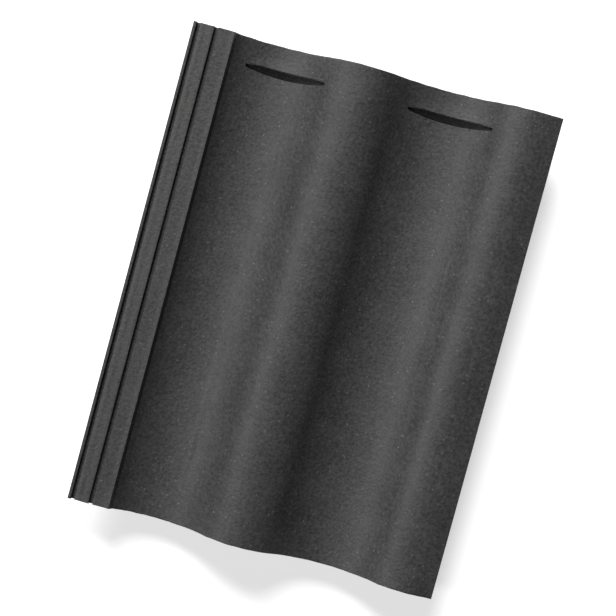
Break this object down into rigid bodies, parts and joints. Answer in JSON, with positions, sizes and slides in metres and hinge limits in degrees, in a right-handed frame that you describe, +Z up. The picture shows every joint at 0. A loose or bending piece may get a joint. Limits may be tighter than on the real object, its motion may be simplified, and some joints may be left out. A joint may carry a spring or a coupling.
{
  "type": "concrete roof tile",
  "caption": "Double-S interlocking concrete roof tile with a grooved underlap, a rain stop in each pan, and nibs and weather bars underneath.",
  "frame": {"origin": "centre of the tile's bounding box at the level of the floor it lies on", "axes": "+X across the tile from the underlap to the overlap, +Y up the slope from the foot to the head, +Z up out of the weather side"},
  "size_m": [0.3216, 0.42, 0.0515],
  "materials": {
    "concrete": "satin"
  },
  "bodies": {
    "root": {"roof_tile": "concrete"}
  },
  "joints": []
}
